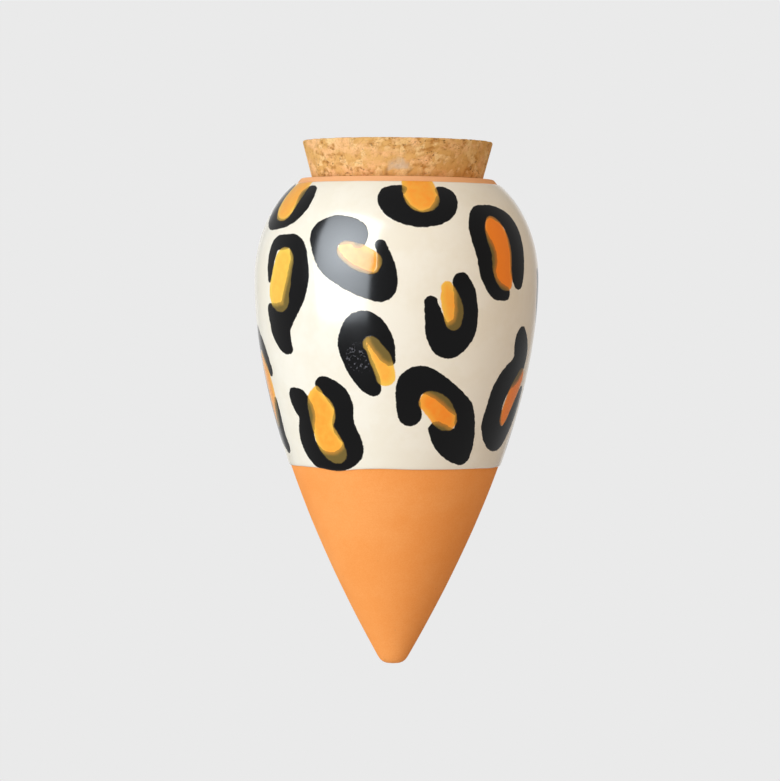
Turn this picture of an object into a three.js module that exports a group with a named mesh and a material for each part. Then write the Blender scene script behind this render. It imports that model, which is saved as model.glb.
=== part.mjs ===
import * as THREE from 'three';

// A pointed clay watering vessel. It is pushed into the soil beside a plant, filled through its
// mouth and closed with a cork. The upper half is glazed, and the bare clay below it is porous,
// so that the water seeps out slowly. Every piece is turned about one upright axis: the origin
// is at the tip, and +Z is up.

// Driving dimensions in millimetres, angles in degrees

// Tip and flank of the clay vessel
const NOSE_RADIUS = 3.4;
const NOSE_EASING = 1.5;
const TIP_HALF_ANGLE = 29.5;
const TIP_PULL = 44;
const BELLY_RADIUS = 43.0;
const BELLY_HEIGHT = 118;
const BELLY_PULL = 32;

// Shoulder and lip of the clay vessel
const SHOULDER_RISE = 28.3;
const SHOULDER_SWEEP = 56.5;
const LIP_LEAN = 1.3;
const LIP_RISE = 2.1;
const LIP_EASING = 0.4;
const RIM_WIDTH = 2.9;
const MOUTH_RADIUS = 26.6;

// Inside of the clay vessel
const WALL_THICKNESS = 4.5;
const TIP_THICKNESS = 12;

// Glaze over the upper half
const GLAZE_LINE_HEIGHT = 61;
const GLAZE_THICKNESS = 0.4;
const GLAZE_CLEARANCE = 0.1;

// Cork stopper, which stands proud of the lip and hangs into the mouth
const CORK_TAPER = 15;
const CORK_STAND = 11.6;
const CORK_DEPTH = 10.5;
const CORK_EASING = 0.8;
const CORK_CLEARANCE = 0.3;

// Steps that round shapes are divided into
const TURN_STEPS = 48;
const FLANK_STEPS = 14;
const SHOULDER_STEPS = 8;
const EASING_STEPS = 3;

// Outlines are lists of points, with x as the radius and y as the height

function point(radius, height) {
  return new THREE.Vector2(radius, height);
}

// A corner rounded off by a curve that starts and ends at a distance from it
function easedCorner(before, corner, after, easing) {
  const toward = (end) => end.clone().sub(corner).setLength(easing).add(corner);
  const curve = new THREE.QuadraticBezierCurve(toward(before), corner, toward(after));
  return curve.getPoints(EASING_STEPS);
}

// The unit direction square to a line, on the outer side of a rising outline
function outward(from, to) {
  const run = to.clone().sub(from).normalize();
  return point(run.y, -run.x);
}

// A copy of an outline, moved outward by an even distance, or inward where it is negative
function moved(outline, distance) {
  const last = outline.length - 1;
  return outline.map((spot, index) => {
    const leaving = outward(outline[Math.min(index, last - 1)], outline[Math.min(index, last - 1) + 1]);
    const arriving = index > 0 ? outward(outline[index - 1], spot) : leaving;
    const mitre = arriving.clone().add(leaving).divideScalar(1 + arriving.dot(leaving));
    return spot.clone().addScaledVector(mitre, distance);
  });
}

// The stretch of a rising outline above a height, with its first point cut at that height
function above(outline, height) {
  const next = outline.findIndex((spot) => spot.y > height);
  const from = outline[next - 1];
  const to = outline[next];
  const cut = from.clone().lerp(to, (height - from.y) / (to.y - from.y));
  return [cut, ...outline.slice(next)];
}

// One closed piece, turned from its outline
function turned(name, outline, material) {
  const geometry = new THREE.LatheGeometry(outline, TURN_STEPS);
  geometry.rotateX(Math.PI / 2);
  const mesh = new THREE.Mesh(geometry, material);
  mesh.name = name;
  return mesh;
}

// Flank: one long curve from the nose to the widest ring of the belly

const tipAngle = THREE.MathUtils.degToRad(TIP_HALF_ANGLE);
const tipDirection = point(Math.sin(tipAngle), Math.cos(tipAngle));
const noseCorner = point(NOSE_RADIUS, 0);
const flankStart = noseCorner.clone().addScaledVector(tipDirection, NOSE_EASING);
const belly = point(BELLY_RADIUS, BELLY_HEIGHT);
const flank = new THREE.CubicBezierCurve(
  flankStart,
  flankStart.clone().addScaledVector(tipDirection, TIP_PULL / tipDirection.y),
  point(BELLY_RADIUS, BELLY_HEIGHT - BELLY_PULL),
  belly,
);

// Shoulder: part of an ellipse from the belly in to the root of the lip

const sweep = THREE.MathUtils.degToRad(SHOULDER_SWEEP);
const rimRadius = MOUTH_RADIUS + RIM_WIDTH;
const lipRoot = point(rimRadius + LIP_LEAN, BELLY_HEIGHT + SHOULDER_RISE);
const shoulderReach = (BELLY_RADIUS - lipRoot.x) / (1 - Math.cos(sweep));
const shoulderLift = SHOULDER_RISE / Math.sin(sweep);
const shoulder = new THREE.EllipseCurve(
  BELLY_RADIUS - shoulderReach,
  BELLY_HEIGHT,
  shoulderReach,
  shoulderLift,
  0,
  sweep,
);

const wall = [...flank.getPoints(FLANK_STEPS), ...shoulder.getPoints(SHOULDER_STEPS).slice(1)];

// Lip: a low bare collar that leans in a little, with a flat rim round the mouth

const lipTop = lipRoot.y + LIP_RISE;
const rimEdge = point(rimRadius, lipTop);
const mouthEdge = point(MOUTH_RADIUS, lipTop);

// Seat and hollow: the mouth tapers as the cork does, and the hollow follows the wall

const taper = Math.tan(THREE.MathUtils.degToRad(CORK_TAPER));
const hollow = above(moved(wall, -WALL_THICKNESS), TIP_THICKNESS);
const throatHeight = hollow.at(-1).y;
const throat = point(MOUTH_RADIUS - (lipTop - throatHeight) * taper, throatHeight);

const clayOutline = [
  point(0, 0),
  ...easedCorner(point(0, 0), noseCorner, flankStart, NOSE_EASING),
  ...wall.slice(1),
  ...easedCorner(lipRoot, rimEdge, mouthEdge, LIP_EASING),
  ...easedCorner(rimEdge, mouthEdge, throat, LIP_EASING),
  throat,
  ...hollow.toReversed(),
  point(0, TIP_THICKNESS),
];
const terracotta = new THREE.MeshStandardMaterial({ color: 0xe8914f, roughness: 0.85, metalness: 0 });

// Glaze: a thin shell that follows the wall from the glaze line up to the lip

const glazed = above(wall, GLAZE_LINE_HEIGHT);
const glazeInside = moved(glazed, GLAZE_CLEARANCE);
const glazeOutside = moved(glazed, GLAZE_CLEARANCE + GLAZE_THICKNESS);
const glazeOutline = [...glazeOutside, ...glazeInside.toReversed(), glazeOutside[0]];
const creamGlaze = new THREE.MeshStandardMaterial({ color: 0xf0e4cc, roughness: 0.2, metalness: 0 });

// Cork: a tapered plug with slightly worn edges

const corkRadius = (height) => MOUTH_RADIUS - CORK_CLEARANCE + (height - lipTop) * taper;
const corkBottom = lipTop - CORK_DEPTH;
const corkTop = lipTop + CORK_STAND;
const corkBottomMiddle = point(0, corkBottom);
const corkBottomCorner = point(corkRadius(corkBottom), corkBottom);
const corkTopCorner = point(corkRadius(corkTop), corkTop);
const corkTopMiddle = point(0, corkTop);
const corkOutline = [
  corkBottomMiddle,
  ...easedCorner(corkBottomMiddle, corkBottomCorner, corkTopCorner, CORK_EASING),
  ...easedCorner(corkBottomCorner, corkTopCorner, corkTopMiddle, CORK_EASING),
  corkTopMiddle,
];
const cork = new THREE.MeshStandardMaterial({ color: 0xd9ab73, roughness: 0.9, metalness: 0 });

const olla = new THREE.Group();
olla.add(turned('clay_vessel', clayOutline, terracotta));
olla.add(turned('glaze_coat', glazeOutline, creamGlaze));
olla.add(turned('cork_stopper', corkOutline, cork));

export default olla;
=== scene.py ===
import math

import bmesh
import bpy
import numpy as np
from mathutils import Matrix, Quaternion, Vector, geometry, noise


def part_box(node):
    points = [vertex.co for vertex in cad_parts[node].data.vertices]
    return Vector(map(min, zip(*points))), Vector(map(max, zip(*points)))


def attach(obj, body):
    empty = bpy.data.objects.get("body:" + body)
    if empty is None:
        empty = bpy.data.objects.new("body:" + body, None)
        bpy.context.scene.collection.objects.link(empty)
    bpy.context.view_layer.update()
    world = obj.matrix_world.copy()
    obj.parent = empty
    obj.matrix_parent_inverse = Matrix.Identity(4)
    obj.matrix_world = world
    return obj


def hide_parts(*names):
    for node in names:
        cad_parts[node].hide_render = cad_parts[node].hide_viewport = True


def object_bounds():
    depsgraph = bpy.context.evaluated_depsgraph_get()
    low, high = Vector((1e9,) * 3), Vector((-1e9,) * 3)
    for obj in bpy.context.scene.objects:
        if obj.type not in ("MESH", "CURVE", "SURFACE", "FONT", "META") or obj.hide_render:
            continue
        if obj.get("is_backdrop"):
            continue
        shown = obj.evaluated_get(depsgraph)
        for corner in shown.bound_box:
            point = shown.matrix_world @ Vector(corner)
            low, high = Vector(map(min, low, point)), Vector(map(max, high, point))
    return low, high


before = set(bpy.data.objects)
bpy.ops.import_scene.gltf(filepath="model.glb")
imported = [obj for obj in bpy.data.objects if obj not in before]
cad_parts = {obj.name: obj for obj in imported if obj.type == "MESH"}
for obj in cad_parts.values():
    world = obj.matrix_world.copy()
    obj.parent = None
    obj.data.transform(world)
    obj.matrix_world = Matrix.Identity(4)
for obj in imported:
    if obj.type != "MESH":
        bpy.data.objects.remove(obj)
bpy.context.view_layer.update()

# Clay vessel
# One hollow body of orange earthenware, cast in a plaster mould, sponged smooth and fired bare. The
# long flank runs down to a blunt solid tip that is pushed into the soil, and water seeps out of it.
# The mouth is tapered to take the cork, and only the lip and the cone below the glaze show the clay.
MM = 0.001
clay_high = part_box("clay_vessel")[1]
NOSE_RADIUS = 3.4 * MM
NOSE_EASING = 2.3 * MM
TIP_HALF_ANGLE = math.radians(29.5)
TIP_PULL = 44 * MM
BELLY_RADIUS = clay_high.x
BELLY_HEIGHT = 118 * MM
BELLY_PULL = 32 * MM
SHOULDER_SWEEP = math.radians(56.5)
LIP_LEAN = 1.3 * MM
LIP_RISE = 1.7 * MM
LIP_EASING = 0.4 * MM
RIM_WIDTH = 2.9 * MM
MOUTH_RADIUS = 26.6 * MM
MOUTH_HEIGHT = clay_high.z
MOUTH_TAPER = math.radians(15)
WALL_THICKNESS = 4.5 * MM
TIP_THICKNESS = 12 * MM
CLAY_TURN_STEPS = 192
FLANK_STEPS = 60
SHOULDER_STEPS = 26
EASING_STEPS = 4
NOSE_RINGS = 3
CLAY_UNEVENNESS = 0.06 * MM
CLAY_UNEVEN_SPAN = 22 * MM
NOISE_SEED = 11
MERGE_DISTANCE = 0.001 * MM

CLAY_LIGHT = (0.94, 0.375, 0.108, 1)
CLAY_DEEP = (0.90, 0.315, 0.072, 1)
# The pore colour is painted shade: the pores' pits are coloured darker, as well as being pressed in by the
# bump.
CLAY_PORE_SHADE = (0.50, 0.17, 0.045, 1)
LIP_WASH = (0.80, 0.49, 0.28, 1)
LIP_WASH_SHARE = 0.6
CLAY_CLOUD_SPAN = 24 * MM
CLAY_CLOUD_SHARE = 0.45
CLAY_GRAIN_SPAN = 0.42 * MM
CLAY_GRAIN_HEIGHT = 0.02 * MM
CLAY_STREAK_SPAN = 5 * MM
CLAY_STREAK_STRETCH = 9
CLAY_STREAK_RANGE = (0.45, 0.8)
CLAY_STREAK_SHARE = 0.3
CLAY_STREAK_HEIGHT = 0.02 * MM
CLAY_PORE_SPAN = 4.5 * MM
CLAY_PORE_RANGE = (0.022, 0.055)
CLAY_PORE_SHADE_SHARE = 0.5
CLAY_PORE_DEPTH = 0.04 * MM
CLAY_ROUGHNESS = (0.78, 0.92)
CLAY_GLOSS = 0.05
NOISE_RANGE = (0.3, 0.7)


def profile(radius, height):
    """A point of an outline that is turned about the upright axis."""
    return Vector((radius, 0, height))


def rounded(start, corner, end):
    """Points of a corner eased from start to end."""
    shares = [step / EASING_STEPS for step in range(EASING_STEPS + 1)]
    return [start.lerp(corner, share).lerp(corner.lerp(end, share), share) for share in shares]


def moved_out(outline, distance):
    """An upward outline moved away from the axis, square to itself."""
    moved = []
    for index, point in enumerate(outline):
        run = outline[min(index + 1, len(outline) - 1)] - outline[max(index - 1, 0)]
        moved.append(point + profile(run.z, -run.x).normalized() * distance)
    return moved


def at_height(outline, height):
    """The point where an upward outline passes a height."""
    for below, above in zip(outline, outline[1:]):
        if below.z <= height <= above.z:
            return below.lerp(above, (height - below.z) / (above.z - below.z))


def turned(outline, steps, closed=False):
    """A surface turned from its outline about the upright axis."""
    shape = bmesh.new()
    points = [shape.verts.new(point) for point in outline]
    pairs = list(zip(points, points[1:]))
    if closed:
        pairs.append((points[-1], points[0]))
    lines = [shape.edges.new(pair) for pair in pairs]
    bmesh.ops.spin(
        shape, geom=points + lines, cent=(0, 0, 0), axis=(0, 0, 1),
        angle=math.tau, steps=steps, use_merge=True,
    )
    bmesh.ops.remove_doubles(shape, verts=shape.verts, dist=MERGE_DISTANCE)
    bmesh.ops.recalc_face_normals(shape, faces=shape.faces)
    return shape


def finished(shape, name, material):
    """A smooth object made of a shape, at the origin."""
    for face in shape.faces:
        face.smooth = True
    mesh = bpy.data.meshes.new(name)
    shape.to_mesh(mesh)
    shape.free()
    mesh.materials.append(material)
    piece = bpy.data.objects.new(name, mesh)
    bpy.context.scene.collection.objects.link(piece)
    return piece


def node(tree, kind, inputs, **settings):
    """A node with its settings, and its inputs set to values or linked to other nodes' sockets."""
    made = tree.nodes.new(kind)
    for name, value in settings.items():
        setattr(made, name, value)
    for name, value in inputs.items():
        if isinstance(value, bpy.types.NodeSocket):
            tree.links.new(value, made.inputs[name])
        else:
            made.inputs[name].default_value = value
    return made


def maths(tree, operation, *values):
    """The result of one sum on values or sockets."""
    return node(tree, "ShaderNodeMath", dict(enumerate(values)), operation=operation).outputs[0]


def covered(tree, under, over, mask):
    """The colour under, covered by the colour over where the mask is 1."""
    return node(tree, "ShaderNodeMix", {0: mask, 6: under, 7: over}, data_type="RGBA").outputs[2]


def ranged(tree, value, low, high, at_low=0.0, at_high=1.0, rise="SMOOTHSTEP"):
    """A value eased from at_low to at_high as another goes from low to high."""
    inputs = {"Value": value, "From Min": low, "From Max": high, "To Min": at_low, "To Max": at_high}
    return node(tree, "ShaderNodeMapRange", inputs, interpolation_type=rise).outputs[0]


def cloudy(tree, where, span, detail=2.0):
    """Noise about 0.5 whose clouds are about span across."""
    inputs = {"Vector": where, "Scale": 1 / span, "Detail": detail}
    return node(tree, "ShaderNodeTexNoise", inputs).outputs[0]


def new_material(name):
    """An empty material, with its tree, its surface shader and its object coordinates."""
    material = bpy.data.materials.new(name)
    material.use_nodes = True
    tree = material.node_tree
    shader = tree.nodes["Principled BSDF"]
    where = node(tree, "ShaderNodeTexCoord", {}).outputs["Object"]
    return material, tree, shader, where


nose = profile(NOSE_RADIUS, 0)
tip_run = profile(math.sin(TIP_HALF_ANGLE), math.cos(TIP_HALF_ANGLE))
flank_start = nose + tip_run * NOSE_EASING
flank_pull = flank_start + profile(math.tan(TIP_HALF_ANGLE), 1) * TIP_PULL
belly = profile(BELLY_RADIUS, BELLY_HEIGHT)
mouth = profile(MOUTH_RADIUS, MOUTH_HEIGHT)
rim = mouth + profile(RIM_WIDTH, 0)
lip_root = rim + profile(LIP_LEAN, -LIP_RISE)
shoulder_reach = (BELLY_RADIUS - lip_root.x) / (1 - math.cos(SHOULDER_SWEEP))
shoulder_lift = (lip_root.z - BELLY_HEIGHT) / math.sin(SHOULDER_SWEEP)
flank = geometry.interpolate_bezier(
    flank_start, flank_pull, belly - profile(0, BELLY_PULL), belly, FLANK_STEPS + 1
)
shoulder = []
for step in range(1, SHOULDER_STEPS + 1):
    sweep = SHOULDER_SWEEP * step / SHOULDER_STEPS
    shoulder.append(
        belly + profile((math.cos(sweep) - 1) * shoulder_reach, math.sin(sweep) * shoulder_lift)
    )
wall = flank + shoulder

hollow_wall = moved_out(wall, -WALL_THICKNESS)
throat_run = profile(math.tan(MOUTH_TAPER), 1)
throat = mouth - throat_run * (MOUTH_HEIGHT - hollow_wall[-1].z)
lip_share = LIP_EASING / (lip_root - rim).length
rim_edge = rounded(rim.lerp(lip_root, lip_share), rim, rim - profile(LIP_EASING, 0))
mouth_edge = rounded(mouth + profile(LIP_EASING, 0), mouth, mouth - throat_run.normalized() * LIP_EASING)
vessel_outline = [
    *[nose * (ring / NOSE_RINGS) for ring in range(NOSE_RINGS - 1)],
    *rounded(nose - profile(NOSE_EASING, 0), nose, flank_start),
    *wall[1:],
    *rim_edge,
    *mouth_edge,
    throat,
    *[point for point in reversed(hollow_wall) if point.z > TIP_THICKNESS],
    at_height(hollow_wall, TIP_THICKNESS),
    profile(0, TIP_THICKNESS),
]
clay_shape = turned(vessel_outline, CLAY_TURN_STEPS)
noise.seed_set(NOISE_SEED)
for point in clay_shape.verts:
    if point.co.z < lip_root.z:
        out = Vector((point.co.x, point.co.y, 0)).normalized()
        point.co -= out * abs(noise.noise(point.co / CLAY_UNEVEN_SPAN)) * CLAY_UNEVENNESS

# Unevenness that clay, glaze and cork share: slow clouds of tone, broken up by a finer cloud.
CLOUD_DETAIL = 3.0
FINE_CLOUD_RATIO = 0.18
FINE_CLOUD_SHARE = 0.3
TONE_RANGE = (0.35, 0.65)
uneven_tone = bpy.data.node_groups.new("uneven_tone", "ShaderNodeTree")
uneven_tone.interface.new_socket("Where", in_out="INPUT", socket_type="NodeSocketVector")
uneven_tone.interface.new_socket("Scale", in_out="INPUT", socket_type="NodeSocketFloat")
uneven_tone.interface.new_socket("Tone", in_out="OUTPUT", socket_type="NodeSocketFloat")
tone_in = uneven_tone.nodes.new("NodeGroupInput").outputs
slow_cloud = node(
    uneven_tone, "ShaderNodeTexNoise",
    {"Vector": tone_in["Where"], "Scale": tone_in["Scale"], "Detail": CLOUD_DETAIL},
).outputs[0]
fine_scale = maths(uneven_tone, "DIVIDE", tone_in["Scale"], FINE_CLOUD_RATIO)
fine_cloud = node(
    uneven_tone, "ShaderNodeTexNoise",
    {"Vector": tone_in["Where"], "Scale": fine_scale, "Detail": CLOUD_DETAIL},
).outputs[0]
both_clouds = maths(uneven_tone, "MULTIPLY_ADD", fine_cloud, FINE_CLOUD_SHARE, slow_cloud)
tone_low, tone_high = [edge + FINE_CLOUD_SHARE / 2 for edge in TONE_RANGE]
tone = ranged(uneven_tone, both_clouds, tone_low, tone_high)
node(uneven_tone, "NodeGroupOutput", {"Tone": tone})


def uneven(tree, where, span):
    """The shared unevenness, from 0 to 1, with clouds about span across."""
    placed = tree.nodes.new("ShaderNodeGroup")
    placed.node_tree = uneven_tone
    tree.links.new(where, placed.inputs["Where"])
    placed.inputs["Scale"].default_value = 1 / span
    return placed.outputs["Tone"]


terracotta, tree, shader, where = new_material("terracotta")
grain = cloudy(tree, where, CLAY_GRAIN_SPAN)
streak_where = node(
    tree, "ShaderNodeMapping", {"Vector": where, "Scale": (1, 1, CLAY_STREAK_STRETCH)}
).outputs[0]
streak = cloudy(tree, streak_where, CLAY_STREAK_SPAN)
pore_distance = node(
    tree, "ShaderNodeTexVoronoi", {"Vector": where, "Scale": 1 / CLAY_PORE_SPAN}
).outputs["Distance"]
pore = ranged(tree, pore_distance, *CLAY_PORE_RANGE, 1, 0)
grain_tone = ranged(tree, grain, *NOISE_RANGE, 0, 1 - CLAY_CLOUD_SHARE)
clay_cloud = uneven(tree, where, CLAY_CLOUD_SPAN)
clay_tone = maths(tree, "MULTIPLY_ADD", clay_cloud, CLAY_CLOUD_SHARE, grain_tone)
clouded_clay = covered(tree, CLAY_DEEP, CLAY_LIGHT, clay_tone)
streaked = ranged(tree, streak, *CLAY_STREAK_RANGE, 0, CLAY_STREAK_SHARE)
streaked_clay = covered(tree, clouded_clay, CLAY_DEEP, streaked)
# Painted shade in the pores: the clay is darkened where the pores sink in.
pore_shaded_clay = covered(tree, streaked_clay, CLAY_PORE_SHADE, maths(tree, "MULTIPLY", pore, CLAY_PORE_SHADE_SHARE))
height = node(tree, "ShaderNodeSeparateXYZ", {"Vector": where}).outputs["Z"]
wiped_lip = ranged(tree, height, lip_root.z, lip_root.z + LIP_EASING, 0, LIP_WASH_SHARE)
clay_colour = covered(tree, pore_shaded_clay, LIP_WASH, wiped_lip)
grain_height = maths(tree, "MULTIPLY", grain, CLAY_GRAIN_HEIGHT)
streak_height = maths(tree, "MULTIPLY_ADD", streak, CLAY_STREAK_HEIGHT, grain_height)
clay_height = maths(tree, "MULTIPLY_ADD", pore, -CLAY_PORE_DEPTH, streak_height)
clay_bump = node(tree, "ShaderNodeBump", {"Height": clay_height, "Distance": 1.0, "Strength": 1.0})
tree.links.new(clay_colour, shader.inputs["Base Color"])
tree.links.new(ranged(tree, grain, *NOISE_RANGE, *CLAY_ROUGHNESS), shader.inputs["Roughness"])
tree.links.new(clay_bump.outputs[0], shader.inputs["Normal"])
shader.inputs["Specular IOR Level"].default_value = CLAY_GLOSS

vessel_clay = finished(clay_shape, "vessel_clay", terracotta)
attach(vessel_clay, "vessel")
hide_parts("clay_vessel")

# Glaze coat
# A cream glaze, dipped over the shoulder and belly down to a level line, where it ends in a soft edge.
# Spots are painted on it by hand: a broad brush of black drawn round most of a ring, and a dab of amber
# in the ring, which turns olive where it lies over the black.
GLAZE_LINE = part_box("glaze_coat")[0].z
GLAZE_THICKNESS = 0.4 * MM
GLAZE_CLEARANCE = 0.1 * MM
GLAZE_TURN_STEPS = 360
GLAZE_ROWS = 150
GLAZE_BACK_ROWS = 20
GLAZE_BEAD = ((0.0, 0.0), (0.12, 0.45), (0.35, 0.8), (0.8, 1.0))
EDGE_WANDER = 0.22 * MM
EDGE_WANDER_TURNS = 3.5
EDGE_REACH = 5 * MM
RUN_ANGLE = math.radians(-33)
RUN_SPREAD = math.radians(9)
RUN_DROP = 0.8 * MM
BRUSH_STEPS = 5
LEAST_RUN = 1e-9

# Each dab of the brush is an angle round the vessel in degrees, a height and a half width in millimetres.
# Each spot's warmth turns its amber from yellow towards orange. It is partly the paint's own tone and
# partly painted warm light: the spots on the right in front are the warmest.
front_spots = {
    "left_shoulder": {
        "black": [
            [(-50.6, 143, 3.6), (-49.4, 140.8, 3.6), (-49.6, 138.4, 3.1), (-51.8, 136, 2.3),
             (-56.5, 134.3, 1.7), (-62, 134, 1.8), (-68.5, 134.7, 2.6), (-74.2, 137.5, 3.3),
             (-76.6, 141.5, 3.3), (-76, 144.5, 2.6)],
        ],
        "amber": [
            [(-63.5, 147.2, 4.6), (-62.4, 143.5, 5.7), (-61.8, 140, 5.4), (-59.6, 138, 3.5)],
        ],
        "warmth": 0.35,
    },
    "left_belly": {
        "black": [
            [(-61.2, 117.2, 1.0), (-61, 121, 1.9), (-60.4, 125, 2.4), (-58.4, 128.1, 2.4),
             (-52.5, 128.4, 2.4), (-47.2, 128.6, 2.3), (-43.6, 125.6, 3.3), (-41.6, 120.5, 3.5),
             (-42.2, 116, 3.8), (-43.8, 111.8, 3.3), (-47.5, 108, 3.3), (-54.5, 104.6, 5.4),
             (-54.6, 101.4, 4.7), (-52.2, 98, 3.2), (-49.6, 96.4, 1.5)],
            [(-61.4, 108.2, 1.9), (-57, 105.6, 4.6)],
            [(-45.4, 122, 1.6), (-45.8, 117.5, 2.4), (-47.2, 113.5, 2.8), (-48.6, 110, 3.0)],
        ],
        "amber": [
            [(-51.6, 122.3, 4.6), (-53.2, 117, 5.0), (-54.7, 113.3, 5.2), (-53.2, 111.6, 4.1)],
        ],
        "warmth": 0.05,
    },
    "centre_left_shoulder": {
        "black": [
            [(-15.6, 128.6, 2.2), (-15.6, 130.5, 2.8), (-19, 131.6, 4.0), (-26.5, 131.9, 4.8),
             (-33, 131.2, 3.6), (-31.3, 128, 4.2), (-27, 122.4, 4.2), (-19, 118.1, 3.9),
             (-9.2, 115.3, 4.1), (-5, 115.2, 3.9), (-4.1, 120.5, 2.9), (-5.3, 125, 2.0),
             (-6.6, 127.6, 1.7)],
        ],
        "amber": [
            [(-20.6, 125.9, 2.9), (-15.5, 124.0, 3.9), (-10.6, 122.4, 3.6)],
        ],
        "warmth": 0.6,
    },
    "centre_lip": {
        "black": [
            [(1.4, 144.2, 2.0), (-2.0, 143.7, 2.4), (-4.6, 143.2, 2.5), (-2.8, 141.0, 4.1),
             (-0.2, 138.6, 4.0), (4.4, 136.5, 3.3), (10, 135.4, 2.7), (16, 136.1, 3.0),
             (20.8, 138.2, 3.5), (23.4, 140.6, 3.5), (24.8, 142.6, 2.7), (22.6, 143.7, 2.2)],
        ],
        "amber": [
            [(10.6, 147.4, 4.6), (11.2, 143.8, 5.3), (11.8, 141.9, 5.3)],
        ],
        "warmth": 0.5,
    },
    "right_shoulder": {
        "black": [
            [(48.5, 113.6, 2.2), (43.5, 114.6, 2.9), (40.2, 117.2, 2.9), (38.6, 120.5, 3.3),
             (38.7, 125, 4.0), (36.4, 130, 3.5), (35.9, 133.4, 3.1), (38.6, 136.9, 2.9),
             (43.5, 138.1, 2.3), (49.5, 137.6, 2.7), (56.2, 135, 3.7), (58, 131, 4.3),
             (57.5, 125, 4.1), (56.7, 120.5, 3.8), (57.2, 117.6, 2.8)],
        ],
        "amber": [
            [(45.4, 134.4, 2.6), (45.6, 132.6, 4.0), (46.3, 130, 4.8), (47.2, 126, 4.5),
             (46.8, 121, 4.2), (48.2, 118, 3.4), (50.6, 116.2, 1.6)],
        ],
        "warmth": 1.0,
    },
    "right_belly": {
        "black": [
            [(13.6, 110.7, 2.1), (15.2, 106, 2.9), (17.4, 101.5, 4.0), (22, 99.4, 5.4),
             (27.6, 102.6, 4.6), (28.9, 107, 4.1), (28.5, 110.5, 4.0), (27.8, 113.5, 3.7),
             (26.2, 116.8, 3.0)],
        ],
        "amber": [
            [(20.2, 115.2, 1.9), (21.4, 112, 3.0), (23.1, 108, 3.3), (23.4, 105.2, 2.7)],
        ],
        "warmth": 0.42,
    },
    "centre_belly": {
        "black": [
            [(-9.3, 84.8, 2.1), (-12.0, 87.5, 3.7), (-15.9, 93, 4.4), (-18.3, 98.5, 4.4),
             (-14.8, 103.5, 4.4), (-9.5, 103.2, 3.8), (-5.6, 98.6, 3.6), (-3.8, 95.2, 2.5),
             (-2.4, 93.4, 1.6)],
        ],
        "amber": [
            [(-10.3, 98.2, 2.4), (-8.8, 97, 2.5), (-6.6, 94, 3.2), (-4.5, 90, 3.0), (-4.2, 88.6, 2.9)],
        ],
        "warmth": 0.3,
    },
    "right_low": {
        "black": [
            [(6.6, 77.4, 3.6), (5.5, 81.5, 3.7), (6.5, 86.5, 4.1), (11.5, 87.8, 4.2),
             (19.5, 85.4, 3.6), (28, 81.2, 3.5), (32.6, 78.9, 3.2), (34.2, 75.5, 3.7), (35.4, 71, 3.9),
             (36, 67.5, 3.8), (36.2, 65.2, 3.3)],
            [(19.6, 73, 2.5), (25, 69.8, 4.0), (31, 67.2, 4.2), (34.4, 66, 3.8)],
        ],
        "amber": [
            [(15.3, 81.2, 3.3), (19.2, 79.6, 4.0), (22.8, 76.8, 3.9), (25.4, 75.3, 2.8)],
        ],
        "warmth": 0.7,
    },
    "left_low": {
        "black": [
            [(-51.8, 82.4, 2.4), (-48.4, 80.6, 4.2), (-45.8, 77.6, 3.9), (-46.2, 74.6, 3.3),
             (-48.2, 71.2, 3.4), (-48, 67.6, 3.5), (-43.5, 64, 3.6), (-38, 62.9, 3.2),
             (-29.5, 63, 3.2), (-22.4, 65.8, 3.6), (-21.6, 69.6, 3.1), (-24.8, 73.2, 3.8),
             (-24.6, 76.5, 3.3), (-24, 79.6, 3.2), (-26.6, 82.8, 3.7), (-31.5, 85.7, 2.8),
             (-33.6, 85.9, 2.5)],
        ],
        "amber": [
            [(-36.6, 84.2, 1.4), (-37.6, 80.8, 3.6), (-36, 77.8, 4.9), (-37.2, 74.4, 3.9),
             (-36.7, 72.6, 3.9), (-34.7, 69.2, 4.6), (-32.5, 66.6, 4.2), (-30.2, 65.2, 2.9)],
        ],
        "warmth": 0.45,
    },
    "right_low_edge": {
        "black": [
            [(63.4, 103, 1.0), (63.6, 99.5, 4.0), (66.5, 95, 5.2), (64, 91, 5.0), (57.2, 88, 4.4),
             (53.2, 84, 4.3), (51.8, 79.5, 4.0), (52.4, 74.5, 4.8), (57.5, 70.4, 4.2), (64, 70, 3.8),
             (69, 73.5, 3.6), (73, 79, 3.6), (75.5, 83.5, 2.4)],
        ],
        "amber": [
            [(70, 88.2, 3.0), (66.2, 84.4, 3.4), (63.4, 80.3, 3.1), (62, 77, 2.6), (61.4, 75.6, 1.9)],
        ],
        "warmth": 1.0,
    },
    "left_low_edge": {
        "black": [
            [(-82, 101, 2.4), (-75, 95.5, 3.0), (-69.5, 89.6, 1.8)],
            [(-71, 80.5, 1.4), (-73, 76, 2.8), (-75, 70.5, 3.4), (-72.5, 67, 2.6)],
            [(-82, 100, 2.4), (-86, 96, 2.4), (-86.8, 91.5, 2.2), (-85, 86, 2.0), (-84.3, 80, 2.0),
             (-83.4, 75, 2.3), (-80, 70.4, 2.9), (-75, 68.5, 3.0)],
        ],
        "amber": [
            [(-79.4, 93.4, 2.4), (-77, 88.6, 3.8), (-76, 82, 4.0), (-78.2, 75.6, 3.3)],
        ],
        "warmth": 0.5,
    },
}

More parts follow.
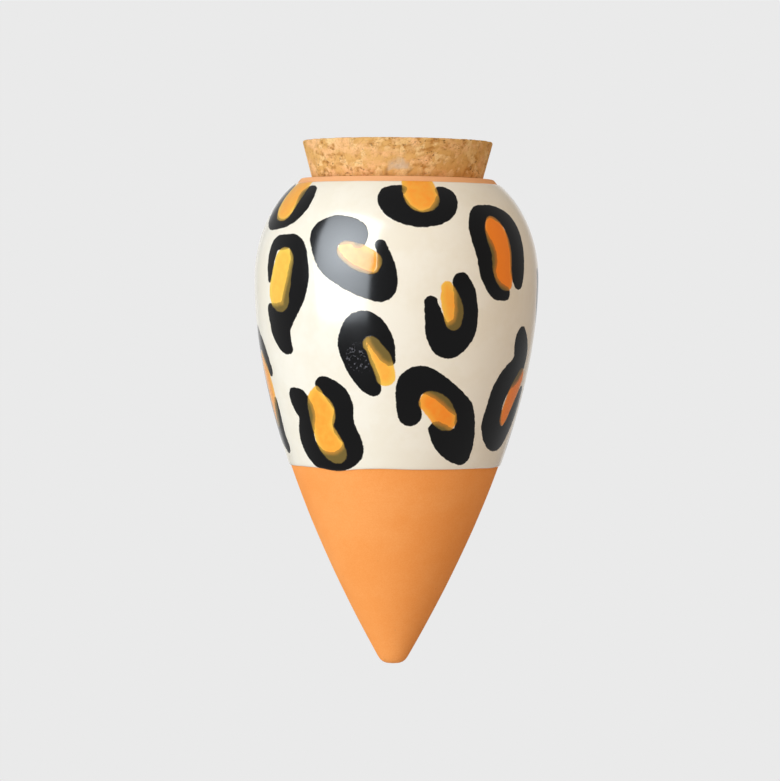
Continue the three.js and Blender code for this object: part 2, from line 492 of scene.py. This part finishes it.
# The spots round the back repeat those in front: a spot, its turn in degrees, its lift in millimetres and
# 1, or -1 where it is painted the other way round.
back_spots = [
    ("centre_lip", 92, 0, 1),
    ("right_belly", 68, 9, 1),
    ("centre_left_shoulder", 110, -10, -1),
    ("left_low", 66, 2, -1),
    ("left_shoulder", 80, 0, -1),
    ("right_low", 137, -1, 1),
    ("right_shoulder", 131, -3, 1),
    ("centre_belly", 186, -1, 1),
    ("left_low", 240, 0, 1),
    ("centre_lip", 197, 0, 1),
    ("centre_belly", 197, 12, -1),
    ("right_belly", 257, -5, -1),
    ("centre_left_shoulder", 270, -7, 1),
    ("right_low", 270, -1, -1),
    ("left_shoulder", 311, 0, 1),
]

glazed = [at_height(wall, GLAZE_LINE), *[point for point in wall if point.z > GLAZE_LINE]]
run_lengths = np.cumsum([0, *[(b - a).length for a, b in zip(glazed, glazed[1:])]])


def glazed_rows(shares):
    """Points of the glazed wall at these shares of its run from the line to the lip."""
    radii = np.interp(shares * run_lengths[-1], run_lengths, [point.x for point in glazed])
    heights = np.interp(shares * run_lengths[-1], run_lengths, [point.z for point in glazed])
    return [profile(radius, height) for radius, height in zip(radii, heights)]


bead_shares = [reach * MM / run_lengths[-1] for reach, _ in GLAZE_BEAD]
bead_fullness = [full for _, full in GLAZE_BEAD]
top_shares = [1 - share for share in reversed(bead_shares)]
row_shares = np.linspace(bead_shares[-1], top_shares[0], GLAZE_ROWS)
outer_shares = np.array([*bead_shares[:-1], *row_shares, *top_shares[1:]])
fullness = np.interp(outer_shares, [*bead_shares, *top_shares], [*bead_fullness, *reversed(bead_fullness)])
outer_rows = glazed_rows(outer_shares)
on_clay = moved_out(outer_rows, GLAZE_CLEARANCE)
face_rows = moved_out(outer_rows, GLAZE_CLEARANCE + GLAZE_THICKNESS)
glaze_face = [low.lerp(high, full) for low, high, full in zip(on_clay, face_rows, fullness)]
glaze_back = moved_out(glazed_rows(np.linspace(0, 1, GLAZE_BACK_ROWS)), GLAZE_CLEARANCE)[1:-1]
glaze_shape = turned([*glaze_face, *reversed(glaze_back)], GLAZE_TURN_STEPS, closed=True)
for point in glaze_shape.verts:
    angle = math.atan2(point.co.x, -point.co.y)
    nearness = max(0, 1 - (point.co.z - GLAZE_LINE) / EDGE_REACH) ** 2
    ring = Vector((math.cos(angle), math.sin(angle), 0)) * EDGE_WANDER_TURNS
    wander = noise.noise(ring) * EDGE_WANDER
    drop = RUN_DROP * math.exp(-(((angle - RUN_ANGLE) / RUN_SPREAD) ** 2))
    lowered = (wander - drop) * nearness
    slope = at_height(wall, max(point.co.z, GLAZE_LINE))
    shrink = at_height(wall, point.co.z + lowered).x / slope.x if nearness else 1
    point.co = Vector((point.co.x * shrink, point.co.y * shrink, point.co.z + lowered))

face_heights = [point.z / MM for point in face_rows]
face_radii = [point.x / MM for point in face_rows]


def on_glaze(angle, height):
    """Points on the glaze in millimetres, at angles in degrees and heights in millimetres."""
    radius = np.interp(height, face_heights, face_radii)
    turn = np.radians(angle)
    return np.stack([radius * np.sin(turn), -radius * np.cos(turn), height], axis=-1)


def brushed(dabs):
    """The smooth run of the brush through its dabs."""
    ends = np.array([dabs[0], *dabs, dabs[-1]], float)
    share = np.linspace(0, 1, BRUSH_STEPS, endpoint=False)[:, None]
    spans = []
    for before, start, end, after in zip(ends, ends[1:], ends[2:], ends[3:]):
        slow = 2 * before - 5 * start + 4 * end - after
        fast = 3 * start - before - 3 * end + after
        spans.append((2 * start + (end - before) * share + slow * share**2 + fast * share**3) / 2)
    return np.concatenate([*spans, ends[-1:]])


def past_paint(points, strokes):
    """How far points lie outside the paint of some strokes, in millimetres, or inside it if negative."""
    nearest = np.full(len(points), np.inf)
    for dabs in strokes:
        path = brushed(dabs)
        places = on_glaze(path[:, 0], path[:, 1])
        for start, end, half, next_half in zip(places, places[1:], path[:, 2], path[1:, 2]):
            run = end - start
            share = np.clip((points - start) @ run / max(run @ run, LEAST_RUN), 0, 1)
            away = np.linalg.norm(points - start - share[:, None] * run, axis=1)
            nearest = np.minimum(nearest, away - half - share * (next_half - half))
    return nearest


def repainted(strokes, turn, lift, way):
    """Strokes turned and lifted to another place."""
    return [[(way * angle + turn, height + lift, half) for angle, height, half in dabs] for dabs in strokes]


spots = [(spot["black"], spot["amber"], spot["warmth"]) for spot in front_spots.values()]
for name, turn, lift, way in back_spots:
    spot = front_spots[name]
    black = repainted(spot["black"], turn, lift, way)
    amber = repainted(spot["amber"], turn, lift, way)
    spots.append((black, amber, spot["warmth"]))

PAINT_REACH = 8.0
glaze_points = np.array([point.co for point in glaze_shape.verts]) / MM
black_edge = np.full(len(glaze_points), PAINT_REACH)
amber_edge = np.full(len(glaze_points), PAINT_REACH)
amber_warmth = np.zeros(len(glaze_points))
for black, amber, warmth in spots:
    dabs = np.concatenate([*black, *amber])
    corners = on_glaze(dabs[:, 0], dabs[:, 1])
    low = corners.min(axis=0) - PAINT_REACH
    high = corners.max(axis=0) + PAINT_REACH
    near = np.flatnonzero(((glaze_points > low) & (glaze_points < high)).all(axis=1))
    black_edge[near] = np.minimum(black_edge[near], past_paint(glaze_points[near], black))
    to_amber = past_paint(glaze_points[near], amber)
    closer = to_amber < amber_edge[near]
    amber_edge[near[closer]] = to_amber[closer]
    amber_warmth[near[closer]] = warmth

CREAM_LIGHT = (0.88, 0.825, 0.71, 1)
CREAM_DEEP = (0.855, 0.79, 0.66, 1)
BLACK_PAINT = (0.0015, 0.0015, 0.0018, 1)
BLACK_THIN = (0.005, 0.005, 0.006, 1)
AMBER_YELLOW = (0.89, 0.575, 0.085, 1)
AMBER_ORANGE = (0.98, 0.25, 0.015, 1)
AMBER_OLIVE = (0.165, 0.112, 0.026, 1)
AMBER_POOL_DEPTH = (-2.2, -0.3)
AMBER_POOL_WARMTH = 0.15
AMBER_MOTTLE = 0.4
CREAM_CLOUD_SPAN = 12 * MM
BRUSH_WOBBLE = 0.32
BRUSH_WOBBLE_SPAN = 1.7 * MM
BRISTLE_WOBBLE = 0.12
BRISTLE_SPAN = 0.5 * MM
BLACK_SOFTNESS = 0.11
AMBER_SOFTNESS = 0.24
BLACK_FULL_DEPTH = 1.6
BLACK_EDGE_SHARE = 0.6
BLACK_THIN_RANGE = (0.02, 0.25)
BLACK_THIN_SHARE = 0.6
# Painted glints: small pale grey-blue specks in the black of one spot low on the belly, standing in for
# glints of light on the glaze.
PAINTED_GLINT_COLOUR = (0.10, 0.10, 0.115, 1)
PAINTED_GLINT_PLACE = (-15, 94)
PAINTED_GLINT_REACH = (3.0 * MM, 5.5 * MM)
PAINTED_GLINT_SPAN = 0.8 * MM
PAINTED_GLINT_RANGE = (0.58, 0.68)
PAINT_HEIGHT = 0.02 * MM
GLAZE_RIPPLE_SPAN = 13 * MM
GLAZE_RIPPLE_HEIGHT = 0.05 * MM
GLAZE_ROUGHNESS = (0.12, 0.17)
GLAZE_GLOSS = 0.35

painted_glaze, tree, shader, where = new_material("painted_glaze")
wobble = maths(tree, "SUBTRACT", cloudy(tree, where, BRUSH_WOBBLE_SPAN), 0.5)
bristle = maths(tree, "SUBTRACT", cloudy(tree, where, BRISTLE_SPAN), 0.5)
wander = maths(
    tree, "MULTIPLY_ADD", bristle, 2 * BRISTLE_WOBBLE, maths(tree, "MULTIPLY", wobble, 2 * BRUSH_WOBBLE)
)


def marked(tree, name):
    """The value of that name that the surface's points carry."""
    return node(tree, "ShaderNodeAttribute", {}, attribute_name=name).outputs["Fac"]


def painted(edge_name, softness):
    """How far the surface lies outside a paint, with the brush's wobble, and the mask of that paint."""
    wobbly = maths(tree, "ADD", marked(tree, edge_name), wander)
    return wobbly, ranged(tree, wobbly, -softness, softness, 1, 0)


black_depth, black_mask = painted("black_edge", BLACK_SOFTNESS)
amber_depth, amber_mask = painted("amber_edge", AMBER_SOFTNESS)
pooled = ranged(tree, amber_depth, *AMBER_POOL_DEPTH, AMBER_POOL_WARMTH, -AMBER_POOL_WARMTH)
# The warmth is partly the amber's own tone and partly painted warm light, strongest on the right-hand
# spots.
warmth = maths(tree, "ADD", marked(tree, "amber_warmth"), pooled)
amber_heat = maths(tree, "MULTIPLY_ADD", wobble, AMBER_MOTTLE, warmth)
amber_colour = covered(tree, AMBER_YELLOW, AMBER_ORANGE, ranged(tree, amber_heat, 0, 1, rise="LINEAR"))
cream_colour = covered(tree, CREAM_DEEP, CREAM_LIGHT, uneven(tree, where, CREAM_CLOUD_SPAN))
thinned = ranged(tree, bristle, *BLACK_THIN_RANGE, 0, BLACK_THIN_SHARE)
black_colour = covered(tree, BLACK_PAINT, BLACK_THIN, thinned)
# Painted glints: pale specks laid into the black paint round one place, as light glinting off the glaze
# there.
glint_centre = Vector(on_glaze(*PAINTED_GLINT_PLACE)) * MM
glint_distance = node(tree, "ShaderNodeVectorMath", {0: where, 1: glint_centre}, operation="DISTANCE")
near_glints = ranged(tree, glint_distance.outputs["Value"], *PAINTED_GLINT_REACH, 1, 0)
painted_glint = maths(tree, "MULTIPLY", ranged(tree, cloudy(tree, where, PAINTED_GLINT_SPAN), *PAINTED_GLINT_RANGE), near_glints)
black_colour = covered(tree, black_colour, PAINTED_GLINT_COLOUR, painted_glint)
ground = covered(tree, cream_colour, black_colour, black_mask)
black_fullness = ranged(tree, black_depth, -BLACK_FULL_DEPTH, 0, 1, BLACK_EDGE_SHARE)
shaded = maths(tree, "MULTIPLY", black_mask, black_fullness)
amber_over = covered(tree, amber_colour, AMBER_OLIVE, shaded)
glaze_colour = covered(tree, ground, amber_over, amber_mask)
paint_height = maths(tree, "MULTIPLY", maths(tree, "ADD", black_mask, amber_mask), PAINT_HEIGHT)
ripple = cloudy(tree, where, GLAZE_RIPPLE_SPAN)
glaze_height = maths(tree, "MULTIPLY_ADD", ripple, GLAZE_RIPPLE_HEIGHT, paint_height)
glaze_bump = node(tree, "ShaderNodeBump", {"Height": glaze_height, "Distance": 1.0, "Strength": 1.0})
tree.links.new(glaze_colour, shader.inputs["Base Color"])
tree.links.new(ranged(tree, ripple, *NOISE_RANGE, *GLAZE_ROUGHNESS), shader.inputs["Roughness"])
tree.links.new(glaze_bump.outputs[0], shader.inputs["Normal"])
shader.inputs["Specular IOR Level"].default_value = GLAZE_GLOSS


def mark_points(piece, marks):
    """Gives the points of a piece named values, which its material reads."""
    for name, values in marks.items():
        attribute = piece.data.attributes.new(name, "FLOAT", "POINT")
        attribute.data.foreach_set("value", np.array(values, np.float32))


glaze_skin = finished(glaze_shape, "glaze_skin", painted_glaze)
mark_points(
    glaze_skin, {"black_edge": black_edge, "amber_edge": amber_edge, "amber_warmth": amber_warmth}
)
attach(glaze_skin, "vessel")
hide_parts("glaze_coat")

# Cork stopper
# A wide plug of cork granules, pressed with a binder into a block, then turned to a taper that wedges in
# the mouth by hand. Its faces are cut through the granules, so they show pits, bark specks and seams.
cork_low, cork_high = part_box("cork_stopper")
CORK_TOP_RADIUS = cork_high.x
CORK_EASING = 0.8 * MM
CORK_TURN_STEPS = 360
CORK_ROW = 0.5 * MM
CORK_GRANULE = 2.1 * MM
CORK_SEAM_DEPTH = 0.16 * MM
CORK_GRANULE_WAVE = 0.35
CORK_GRANULE_SHUFFLE = 37.7
CORK_SEAM_WIDTH = 0.16
CORK_PIT_SPAN = 2.0 * MM
CORK_PIT_ONSET = 0.45
CORK_PIT_DEPTH = 0.5 * MM
CORK_CHIP_SPAN = 3.5 * MM
CORK_CHIP_REACH = 2.5 * MM
CORK_CHIP_DEPTH = 0.35 * MM
PALE_GRANULE_HEIGHT = 150.6 * MM
PALE_GRANULE_ANGLE = math.radians(0.4)
PALE_GRANULE_SIZE = (5.2 * MM, 4.8 * MM)
PALE_EDGE_SPAN = 1.2 * MM
PALE_EDGE_WOBBLE = 0.16
PALE_FOOT = 0.3
PALE_FOOT_SLOPE = 2
PALE_FOOT_SPAN = 2 * MM
PALE_FOOT_WOBBLE = 0.4
# The pocket is a band of painted shade along the sides of the pale granule, as if the granule sat in a
# hollow.
POCKET_DEPTH = 0.25
POCKET_WIDTH = 0.14
POCKET_HEIGHT = -0.15
POCKET_REACH = 0.35

CORK_PALE = (0.85, 0.57, 0.26, 1)
CORK_TAN = (0.70, 0.39, 0.125, 1)
CORK_PEACH = (0.88, 0.50, 0.24, 1)
CORK_BROWN = (0.46, 0.20, 0.045, 1)
CORK_SPECK = (0.20, 0.08, 0.02, 1)
CORK_GREY = (0.55, 0.45, 0.36, 1)
CORK_CLOUD_SPAN = 5 * MM
CORK_GRANULE_SHARE = 0.6
CORK_TONE_RANGE = (0.05, 0.8)
CORK_BARK_SPAN = 11 * MM
CORK_BARK_RANGE = (0.2, 0.8)
CORK_BARK_LEAST = 0.25
CORK_PEACH_SPAN = 7 * MM
CORK_PEACH_DETAIL = 4.0
CORK_PEACH_RANGE = (0.46, 0.66)
CORK_PEACH_SHARE = 0.8
CORK_SMUDGE_SPAN = 2.6 * MM
CORK_SMUDGE_DETAIL = 5.0
CORK_SMUDGE_RANGE = (0.47, 0.64)
CORK_SMUDGE_SHARE = 0.9
CORK_SEAM_RANGE = (0.5, 1.0)
CORK_SEAM_SHARE = 0.45
CORK_GREY_RANGE = (0.16, 0.5)
CORK_GREY_SHARE = 0.62
GREY_SMUDGE_RANGE = (0.42, 0.62)
GREY_SMUDGE_LEAST = 0.55
CORK_POCKET_SHADE_SHARE = 0.75
CORK_SPECK_SPAN = 1.2 * MM
CORK_SPECK_DETAIL = 3.0
CORK_SPECK_RANGE = (0.57, 0.70)
CORK_SPECK_SHARE = 0.8
CORK_SPECK_DEPTH = 0.08 * MM
CORK_FIBRE_SPAN = 0.5 * MM
CORK_FIBRE_DETAIL = 3.0
CORK_FIBRE_RANGE = (0.45, 0.7)
CORK_FIBRE_SHARE = 0.7
CORK_FIBRE_HEIGHT = 0.06 * MM
CORK_FLATTENING = 1.5
CORK_ROUGHNESS = (0.75, 0.95)
CORK_GLOSS = 0.08


def stepped(start, end, row):
    """Points from start up to end, no further apart than a row."""
    count = max(1, math.ceil((end - start).length / row))
    return [start.lerp(end, step / count) for step in range(count)]


cork_foot_radius = CORK_TOP_RADIUS - (cork_high.z - cork_low.z) * math.tan(MOUTH_TAPER)
cork_foot = profile(cork_foot_radius, cork_low.z)
cork_head = profile(CORK_TOP_RADIUS, cork_high.z)
cork_run = (cork_head - cork_foot).normalized()
foot_round = rounded(
    cork_foot - profile(CORK_EASING, 0), cork_foot, cork_foot + cork_run * CORK_EASING
)
head_round = rounded(
    cork_head - cork_run * CORK_EASING, cork_head, cork_head - profile(CORK_EASING, 0)
)
cork_outline = [
    *stepped(profile(0, cork_low.z), foot_round[0], CORK_ROW),
    *foot_round[:-1],
    *stepped(foot_round[-1], head_round[0], CORK_ROW),
    *head_round[:-1],
    *stepped(head_round[-1], profile(0, cork_high.z), CORK_ROW),
    profile(0, cork_high.z),
]
cork_shape = turned(cork_outline, CORK_TURN_STEPS)
cork_shape.normal_update()
granule_tone = []
granule_seam = []
pale_granule = []
pocket_shade = []
sunk = []
for point in cork_shape.verts:
    wave = noise.noise_vector(point.co / CORK_GRANULE) * (CORK_GRANULE_WAVE * CORK_GRANULE)
    distances, centres = noise.voronoi((point.co + wave) / CORK_GRANULE)
    seam = 1 - min(1, (distances[1] - distances[0]) / CORK_SEAM_WIDTH)
    pit = max(0, noise.noise(point.co / CORK_PIT_SPAN) - CORK_PIT_ONSET) / (1 - CORK_PIT_ONSET)
    to_edge = cork_head - profile(math.hypot(point.co.x, point.co.y), point.co.z)
    nearness = max(0, 1 - to_edge.length / CORK_CHIP_REACH)
    chip = nearness * max(0, noise.noise(point.co / CORK_CHIP_SPAN))
    angle = math.atan2(point.co.x, -point.co.y)
    across = (angle - PALE_GRANULE_ANGLE) * CORK_TOP_RADIUS / PALE_GRANULE_SIZE[0]
    above = (point.co.z - PALE_GRANULE_HEIGHT) / PALE_GRANULE_SIZE[1]
    whole = 1 - math.hypot(across, above) + PALE_EDGE_WOBBLE * noise.noise(point.co / PALE_EDGE_SPAN)
    foot = PALE_FOOT + PALE_FOOT_SLOPE * above + PALE_FOOT_WOBBLE * noise.noise(point.co / PALE_FOOT_SPAN)
    # The pocket band of painted shade, round the pale granule's sides and lower part.
    pocket_ring = max(0, 1 - abs(whole - POCKET_DEPTH) / POCKET_WIDTH)
    pocket_row = max(0, 1 - abs(above - POCKET_HEIGHT) / POCKET_REACH)
    granule_tone.append(noise.cell(centres[0] * CORK_GRANULE_SHUFFLE))
    granule_seam.append(seam)
    pale_granule.append(min(whole, foot))
    pocket_shade.append(pocket_ring * pocket_row)
    sunk.append(point.normal * (seam**2 * CORK_SEAM_DEPTH + pit * CORK_PIT_DEPTH + chip * CORK_CHIP_DEPTH))
for point, depth in zip(cork_shape.verts, sunk):
    point.co -= depth

pressed_cork, tree, shader, where = new_material("pressed_cork")
fibre = cloudy(tree, where, CORK_FIBRE_SPAN, CORK_FIBRE_DETAIL)
pressed_where = node(
    tree, "ShaderNodeMapping", {"Vector": where, "Scale": (1, 1, CORK_FLATTENING)}
).outputs[0]
smudge = cloudy(tree, pressed_where, CORK_SMUDGE_SPAN, CORK_SMUDGE_DETAIL)
bark = ranged(tree, uneven(tree, where, CORK_BARK_SPAN), *CORK_BARK_RANGE, CORK_BARK_LEAST, 1)
speck_cloud = cloudy(tree, pressed_where, CORK_SPECK_SPAN, CORK_SPECK_DETAIL)
speck = maths(tree, "MULTIPLY", ranged(tree, speck_cloud, *CORK_SPECK_RANGE), bark)
clouds = maths(tree, "MULTIPLY", uneven(tree, where, CORK_CLOUD_SPAN), 1 - CORK_GRANULE_SHARE)
cork_tone = maths(tree, "MULTIPLY_ADD", marked(tree, "granule_tone"), CORK_GRANULE_SHARE, clouds)
cork_colour = covered(tree, CORK_TAN, CORK_PALE, ranged(tree, cork_tone, *CORK_TONE_RANGE))
peach_cloud = cloudy(tree, pressed_where, CORK_PEACH_SPAN, CORK_PEACH_DETAIL)
peach = ranged(tree, peach_cloud, *CORK_PEACH_RANGE, 0, CORK_PEACH_SHARE)
cork_colour = covered(tree, cork_colour, CORK_PEACH, peach)
fibrous = ranged(tree, fibre, *CORK_FIBRE_RANGE, 0, CORK_FIBRE_SHARE)
cork_colour = covered(tree, cork_colour, CORK_TAN, fibrous)
smudged = maths(tree, "MULTIPLY", ranged(tree, smudge, *CORK_SMUDGE_RANGE, 0, CORK_SMUDGE_SHARE), bark)
cork_colour = covered(tree, cork_colour, CORK_BROWN, smudged)
seamed = ranged(tree, marked(tree, "granule_seam"), *CORK_SEAM_RANGE, 0, CORK_SEAM_SHARE)
cork_colour = covered(tree, cork_colour, CORK_BROWN, seamed)
pale = ranged(tree, marked(tree, "pale_granule"), *CORK_GREY_RANGE, 0, CORK_GREY_SHARE)
clean = ranged(tree, smudge, *GREY_SMUDGE_RANGE, 1, GREY_SMUDGE_LEAST)
cork_colour = covered(tree, cork_colour, CORK_GREY, maths(tree, "MULTIPLY", pale, clean))
# Painted shade: the pocket band round the pale granule is darkened to the speck colour.
shadowed = maths(tree, "MULTIPLY", marked(tree, "pocket_shade"), CORK_POCKET_SHADE_SHARE)
cork_colour = covered(tree, cork_colour, CORK_SPECK, shadowed)
cork_colour = covered(tree, cork_colour, CORK_SPECK, maths(tree, "MULTIPLY", speck, CORK_SPECK_SHARE))
speck_height = maths(tree, "MULTIPLY", speck, -CORK_SPECK_DEPTH)
cork_height = maths(tree, "MULTIPLY_ADD", fibre, CORK_FIBRE_HEIGHT, speck_height)
cork_bump = node(tree, "ShaderNodeBump", {"Height": cork_height, "Distance": 1.0, "Strength": 1.0})
tree.links.new(cork_colour, shader.inputs["Base Color"])
tree.links.new(ranged(tree, fibre, *NOISE_RANGE, *CORK_ROUGHNESS), shader.inputs["Roughness"])
tree.links.new(cork_bump.outputs[0], shader.inputs["Normal"])
shader.inputs["Specular IOR Level"].default_value = CORK_GLOSS

cork_plug = finished(cork_shape, "cork_plug", pressed_cork)
mark_points(
    cork_plug,
    {
        "granule_tone": granule_tone,
        "granule_seam": granule_seam,
        "pale_granule": pale_granule,
        "pocket_shade": pocket_shade,
    },
)
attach(cork_plug, "stopper")
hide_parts("cork_stopper")

# Studio
# A plain pale room: a painted floor well below the tip, grey walls that are a little darker on the
# right, and a paler wall behind the object. Soft lamps light it, most of them from the left, and the
# glaze mirrors one large pane.
FLOOR_DROP = 0.9
FLOOR_BACK = 5.5
FLOOR_SIZE = 60.0
FLOOR_CLOUD_SPAN = 0.9
FLOOR_ROUGHNESS = 0.9
FLOOR_COLOUR = (0.88, 0.88, 0.88, 1)
FLOOR_LIGHT = (0.91, 0.91, 0.91, 1)
ROOM_COLOUR = (0.38, 0.38, 0.38, 1)
DIM_COLOUR = (0.29, 0.28, 0.27, 1)
DIM_TOWARDS = (0.95, -0.1, -0.3)
DIM_SPREAD = (-0.1, 0.9)
BACKDROP_COLOUR = (0.823, 0.823, 0.823, 1)
BACKDROP_TOWARDS = (0, 1, 0)
BACKDROP_SPREAD = (0.86, 0.99)

floor_shape = bmesh.new()
bmesh.ops.create_grid(floor_shape, size=FLOOR_SIZE / 2)
floor_place = (0, FLOOR_BACK - FLOOR_SIZE / 2, -FLOOR_DROP)
bmesh.ops.translate(floor_shape, verts=floor_shape.verts, vec=floor_place)
floor_board, tree, shader, where = new_material("floor_board")
floor_tone = uneven(tree, where, FLOOR_CLOUD_SPAN)
tree.links.new(covered(tree, FLOOR_COLOUR, FLOOR_LIGHT, floor_tone), shader.inputs["Base Color"])
shader.inputs["Roughness"].default_value = FLOOR_ROUGHNESS
finished(floor_shape, "floor", floor_board)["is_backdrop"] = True

world = bpy.data.worlds.new("studio")
world.use_nodes = True
tree = world.node_tree
direction = node(tree, "ShaderNodeTexCoord", {}).outputs["Generated"]


def towards(heading, spread):
    """The share of a wall's colour that a direction of the room has."""
    nearness = node(tree, "ShaderNodeVectorMath", {0: direction, 1: heading}, operation="DOT_PRODUCT")
    return ranged(tree, nearness.outputs["Value"], *spread)


room_colour = covered(tree, ROOM_COLOUR, DIM_COLOUR, towards(DIM_TOWARDS, DIM_SPREAD))
room_colour = covered(tree, room_colour, BACKDROP_COLOUR, towards(BACKDROP_TOWARDS, BACKDROP_SPREAD))
tree.links.new(room_colour, tree.nodes["Background"].inputs["Color"])
bpy.context.scene.world = world
bpy.context.scene.view_settings.view_transform = "Standard"

MIDDLE = Vector((0, 0, 0.105))
LAMP_DISTANCE = 1.0
PANE_DISTANCE = 0.95


def soft_lamp(name, angle, height_angle, size, power, colour, spread=180, mirrored=False):
    """A soft lamp aimed at the object's middle, at degrees off the camera's side and above the level.

    It lights the object without showing in the glaze or, where it is mirrored, only shows there.
    """
    lamp = bpy.data.lights.new(name, "AREA")
    lamp.shape = "RECTANGLE"
    lamp.size, lamp.size_y = size
    lamp.spread = math.radians(spread)
    lamp.energy = power
    lamp.color = colour
    stand = bpy.data.objects.new(name, lamp)
    turn = math.radians(angle)
    rise = math.tan(math.radians(height_angle))
    heading = Vector((math.sin(turn), -math.cos(turn), rise)).normalized()
    stand.location = MIDDLE + heading * (PANE_DISTANCE if mirrored else LAMP_DISTANCE)
    stand.rotation_euler = heading.to_track_quat("Z", "Y").to_euler()
    stand.visible_camera = False
    stand.visible_glossy = mirrored
    stand.visible_diffuse = not mirrored
    bpy.context.scene.collection.objects.link(stand)


KEY_ANGLE = -44
KEY_SPREAD = 100
KEY_TINT = (0.93, 1, 1.07)
soft_lamp(
    "key_lamp", angle=KEY_ANGLE, height_angle=16, size=(0.85, 1.25),
    power=3.12, colour=KEY_TINT, spread=KEY_SPREAD,
)
soft_lamp(
    "key_pane", angle=KEY_ANGLE, height_angle=20, size=(0.85, 1.12),
    power=14.8, colour=KEY_TINT, spread=KEY_SPREAD, mirrored=True,
)
soft_lamp("fill_lamp", angle=-32, height_angle=-24, size=(0.8, 0.6), power=2.8, colour=(1, 1, 0.98))
soft_lamp("side_lamp", angle=-100, height_angle=4, size=(0.5, 0.8), power=0.9, colour=(0.97, 1, 1.02))
soft_lamp("warm_lamp", angle=36, height_angle=40, size=(0.66, 0.68), power=2.2, colour=(1, 0.80, 0.52))
soft_lamp("low_warm_lamp", angle=62, height_angle=-14, size=(0.5, 0.5), power=0.85, colour=(1, 0.42, 0.07))

CAMERA_PLACE = Vector((-1.66, -1100, 107.2)) * MM
CAMERA_AIM = Vector((-1.66, 0, 83.7)) * MM
CAMERA_ROLL = math.radians(0.54)
CAMERA_LENS = 165.5
CAMERA_SENSOR_WIDTH = 36
camera = bpy.data.cameras.new("camera")
camera.sensor_width = CAMERA_SENSOR_WIDTH
camera.sensor_fit = "HORIZONTAL"
camera.lens = CAMERA_LENS
view = bpy.data.objects.new("camera", camera)
view.location = CAMERA_PLACE
view.rotation_euler = (
    (CAMERA_AIM - CAMERA_PLACE).to_track_quat("-Z", "Y") @ Quaternion((0, 0, 1), CAMERA_ROLL)
).to_euler()
bpy.context.scene.collection.objects.link(view)
bpy.context.scene.camera = view

low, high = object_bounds()
